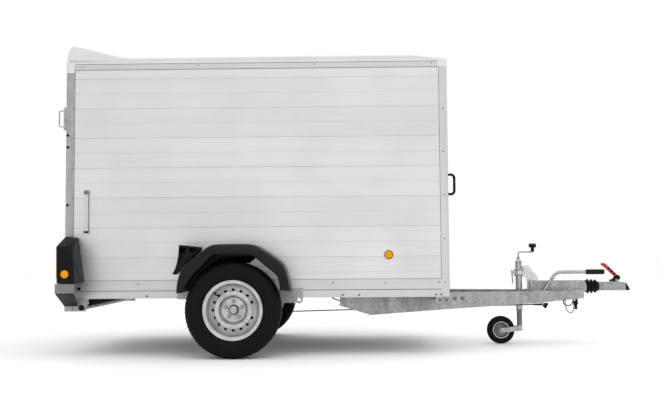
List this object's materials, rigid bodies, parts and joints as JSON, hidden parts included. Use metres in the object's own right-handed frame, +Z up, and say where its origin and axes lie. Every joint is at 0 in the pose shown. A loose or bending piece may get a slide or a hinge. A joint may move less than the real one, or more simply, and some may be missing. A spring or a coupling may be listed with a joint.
{
  "type": "livestock trailer",
  "caption": "Single-axle livestock trailer: plank-sided box with a raised rear hood, hinged loading ramp, V drawbar, overrun coupling and jockey wheel.",
  "frame": {"origin": "on the ground, under the middle of the overall length and width", "axes": "+X forward to the coupling, +Y to the trailer's left, +Z up"},
  "size_m": [4.092, 1.88, 2.118],
  "materials": {
    "phenolic_plywood": "phenolic film",
    "galvanised_steel": "hot-dip galvanised",
    "aluminium_rail": "satin anodised",
    "aluminium_plank": "satin anodised",
    "white_plastic": "moulded",
    "white_polyester": "gelcoat",
    "zinc_plated_steel": "zinc plated",
    "black_plastic": "fine grain",
    "amber_lens": "prismatic",
    "red_lens": "prismatic",
    "black_rubber": "moulded",
    "cast_steel": "zinc coated casting",
    "painted_steel": "satin",
    "silver_rim": "silver lacquer",
    "tyre_rubber": "matt",
    "red_plastic": "moulded"
  },
  "bodies": {
    "chassis": {"floor_board": "phenolic_plywood", "cross_members": "galvanised_steel", "sill_rails": "aluminium_rail", "side_wall_right": "aluminium_plank", "side_wall_left": "aluminium_plank", "front_wall": "aluminium_plank", "front_corner_posts": "aluminium_rail", "rear_portal": "galvanised_steel", "roof_rails": "aluminium_rail", "corner_caps": "white_plastic", "roof_hood": "white_polyester", "fasteners": "zinc_plated_steel", "plastic_plugs": "black_plastic", "side_reflectors": "amber_lens", "lamp_carriers": "black_plastic", "rear_lamps": "red_lens", "rear_brackets": "galvanised_steel", "grab_handles": "black_plastic", "drawbar_beam_right": "galvanised_steel", "drawbar_beam_left": "galvanised_steel", "axle_tube": "galvanised_steel", "axle_brackets": "galvanised_steel", "mudguards": "black_plastic", "overrun_housing": "galvanised_steel", "bellows": "black_rubber", "jockey_bracket": "cast_steel", "plug_holder": "black_plastic", "breakaway_cable": "black_rubber", "trailer_cable": "black_rubber", "trailer_plug": "black_plastic", "lighting_lead": "black_rubber", "wall_brackets": "zinc_plated_steel"},
    "arm_right": {"swing_arm_right": "painted_steel"},
    "arm_left": {"swing_arm_left": "painted_steel"},
    "wheel_right": {"hub_right": "painted_steel", "rim_right": "silver_rim", "tyre_right": "tyre_rubber"},
    "wheel_left": {"hub_left": "painted_steel", "rim_left": "silver_rim", "tyre_left": "tyre_rubber"},
    "ramp": {"ramp_planks": "aluminium_plank", "ramp_frame": "aluminium_rail", "ramp_treads": "aluminium_rail"},
    "latch_right": {"latch_right": "zinc_plated_steel"},
    "latch_left": {"latch_left": "zinc_plated_steel"},
    "stay": {"stay_rod": "aluminium_rail"},
    "draw_tube": {"draw_tube": "zinc_plated_steel", "coupling_head": "cast_steel"},
    "coupling_lever": {"coupling_lever": "red_plastic"},
    "handbrake": {"handbrake_lever": "zinc_plated_steel"},
    "brake_rod": {"brake_rod": "zinc_plated_steel"},
    "clamp_lever": {"clamp_lever": "zinc_plated_steel"},
    "jockey_mast": {"jockey_mast": "zinc_plated_steel"},
    "jockey_crank": {"jockey_crank": "zinc_plated_steel"},
    "jockey_inner": {"jockey_inner": "zinc_plated_steel"},
    "jockey_fork": {"jockey_fork": "zinc_plated_steel"},
    "jockey_wheel": {"jockey_rim": "silver_rim", "jockey_tyre": "tyre_rubber"},
    "chock_right": {"chock_right": "black_plastic"},
    "chock_left": {"chock_left": "black_plastic"}
  },
  "joints": [
    {"name": "arm_right_swing", "type": "hinge", "parent": "chassis", "child": "arm_right", "pos_m": [-0.649, -0.706, 0.344], "axis": [0, 1, 0], "range_deg": [-9, 8], "stiffness_Nm_per_rad": 3000, "springref_deg": -6.7},
    {"name": "arm_left_swing", "type": "hinge", "parent": "chassis", "child": "arm_left", "pos_m": [-0.649, 0.706, 0.344], "axis": [0, 1, 0], "range_deg": [-9, 8], "stiffness_Nm_per_rad": 3000, "springref_deg": -6.7},
    {"name": "wheel_right_spin", "type": "hinge", "parent": "arm_right", "child": "wheel_right", "pos_m": [-0.814, -0.825, 0.3145], "axis": [0, 1, 0], "continuous": true},
    {"name": "wheel_left_spin", "type": "hinge", "parent": "arm_left", "child": "wheel_left", "pos_m": [-0.814, 0.825, 0.3145], "axis": [0, 1, 0], "continuous": true},
    {"name": "ramp_hinge", "type": "hinge", "parent": "chassis", "child": "ramp", "pos_m": [-1.99, 0, 0.452], "axis": [0, -1, 0], "range_deg": [0, 111]},
    {"name": "latch_right_turn", "type": "hinge", "parent": "chassis", "child": "latch_right", "pos_m": [-1.994, -0.64, 1.617], "axis": [1, 0, 0], "range_deg": [0, 90]},
    {"name": "latch_left_turn", "type": "hinge", "parent": "chassis", "child": "latch_left", "pos_m": [-1.994, 0.64, 1.617], "axis": [-1, 0, 0], "range_deg": [0, 90]},
    {"name": "stay_swing", "type": "hinge", "parent": "chassis", "child": "stay", "pos_m": [-1.834, -0.694, 1.102], "axis": [0, 1, 0], "range_deg": [-90, 90]},
    {"name": "draw_tube_slide", "type": "slide", "parent": "chassis", "child": "draw_tube", "axis": [1, 0, 0], "range_m": [-0.09, 0], "deforming": ["bellows"]},
    {"name": "coupling_lever_lift", "type": "hinge", "parent": "draw_tube", "child": "coupling_lever", "pos_m": [1.948, 0, 0.468], "axis": [0, 1, 0], "range_deg": [0, 35]},
    {"name": "handbrake_pull", "type": "hinge", "parent": "chassis", "child": "handbrake", "pos_m": [1.381, -0.06, 0.374], "axis": [0, -1, 0], "range_deg": [0, 75]},
    {"name": "brake_rod_slide", "type": "slide", "parent": "chassis", "child": "brake_rod", "axis": [1, 0, 0], "range_m": [0, 0.04]},
    {"name": "clamp_screw_turn", "type": "hinge", "parent": "chassis", "child": "clamp_lever", "pos_m": [1.176, 0, 0.528], "axis": [1, 0, 0], "range_deg": [-180, 180]},
    {"name": "jockey_mast_slide", "type": "slide", "parent": "chassis", "child": "jockey_mast", "axis": [0, 0, 1], "range_m": [-0.05, 0.125]},
    {"name": "jockey_crank_turn", "type": "hinge", "parent": "jockey_mast", "child": "jockey_crank", "pos_m": [1.221, 0, 0.63], "axis": [0, 0, 1], "continuous": true},
    {"name": "jockey_inner_slide", "type": "slide", "parent": "jockey_mast", "child": "jockey_inner", "axis": [0, 0, 1], "range_m": [-0.1, 0.05]},
    {"name": "jockey_swivel", "type": "hinge", "parent": "jockey_inner", "child": "jockey_fork", "pos_m": [1.221, 0, 0.139], "axis": [0, 0, 1], "continuous": true},
    {"name": "jockey_wheel_spin", "type": "hinge", "parent": "jockey_fork", "child": "jockey_wheel", "pos_m": [1.079, 0, 0.103], "axis": [0, 1, 0], "continuous": true},
    {"name": "chock_right_off", "type": "slide", "parent": "chassis", "child": "chock_right", "axis": [0, -1, 0], "range_m": [0, 0.13]},
    {"name": "chock_left_off", "type": "slide", "parent": "chassis", "child": "chock_left", "axis": [0, 1, 0], "range_m": [0, 0.13]}
  ],
  "couplings": [
    {"joint": "brake_rod_slide", "follows": "handbrake_pull", "m_per_rad": 0.030527}
  ]
}
